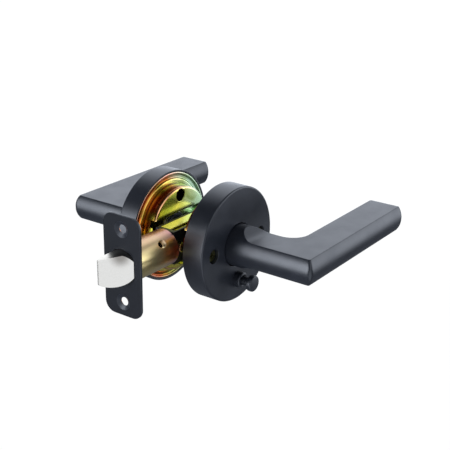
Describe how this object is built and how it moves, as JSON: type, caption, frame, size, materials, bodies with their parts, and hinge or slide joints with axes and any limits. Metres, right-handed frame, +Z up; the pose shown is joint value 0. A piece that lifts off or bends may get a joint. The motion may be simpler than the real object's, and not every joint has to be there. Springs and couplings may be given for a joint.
{
  "type": "door lever handle",
  "caption": "Privacy door lever set: mitred levers on round roses either side of a door, joined by a square spindle to a spring latch, with a push button below the inside lever.",
  "frame": {"origin": "where the spindle axis crosses the latch axis, in the door's middle plane", "axes": "+Z up, +Y along the spindle towards the exterior side, +X along the latch away from the door's edge, so the bolt points to -X and the levers to +X"},
  "size_m": [0.1705, 0.1688, 0.066],
  "materials": {
    "black_powder_coat": "matte black powder coat on die-cast zinc",
    "yellow_zinc": "yellow zinc plate with an iridescent chromate film on stamped steel",
    "satin_zinc_tube": "drawn steel tube, satin yellow zinc",
    "satin_nickel": "satin nickel on a sintered steel bolt",
    "black_steel": "black oxide on stamped steel",
    "spring_steel": "oiled spring steel",
    "nylon": "natural moulded nylon"
  },
  "bodies": {
    "lock_body": {"interior_rose": "black_powder_coat", "interior_chassis": "yellow_zinc", "interior_bushing": "nylon", "interior_return_spring": "spring_steel", "exterior_rose": "black_powder_coat", "exterior_chassis": "yellow_zinc", "exterior_bushing": "nylon", "exterior_return_spring": "spring_steel", "screw_posts": "yellow_zinc", "through_screws": "yellow_zinc", "latch_faceplate": "black_powder_coat", "latch_backplate": "yellow_zinc", "latch_tube": "satin_zinc_tube", "latch_case": "black_steel", "bolt_spring": "spring_steel", "privacy_bushing": "black_powder_coat", "privacy_spring": "spring_steel"},
    "handles": {"interior_lever": "black_powder_coat", "exterior_lever": "black_powder_coat", "interior_retaining_ring": "spring_steel", "exterior_retaining_ring": "spring_steel", "spindle": "yellow_zinc", "spindle_pin": "spring_steel", "retractor_cam": "black_steel"},
    "bolt": {"latch_bolt": "satin_nickel", "bolt_drawbar": "black_steel"},
    "privacy": {"privacy_button": "black_powder_coat", "privacy_rod": "yellow_zinc", "privacy_lock_plate": "yellow_zinc"}
  },
  "joints": [
    {"name": "lever_turn", "type": "hinge", "parent": "lock_body", "child": "handles", "pos_m": [0, 0, 0], "axis": [0, 1, 0], "range_deg": [0, 50], "stiffness_Nm_per_rad": 0.6, "springref_deg": -34.38},
    {"name": "bolt_slide", "type": "slide", "parent": "lock_body", "child": "bolt", "axis": [1, 0, 0], "range_m": [0, 0.0127], "stiffness_N_per_m": 120, "springref_m": -0.02, "deforming": ["bolt_spring"]},
    {"name": "button_push", "type": "slide", "parent": "lock_body", "child": "privacy", "axis": [0, 1, 0], "range_m": [0, 0.004], "stiffness_N_per_m": 150, "springref_m": -0.004, "deforming": ["privacy_spring"]}
  ],
  "couplings": [
    {"joint": "bolt_slide", "follows": "lever_turn", "m_per_rad": 0.01455}
  ]
}
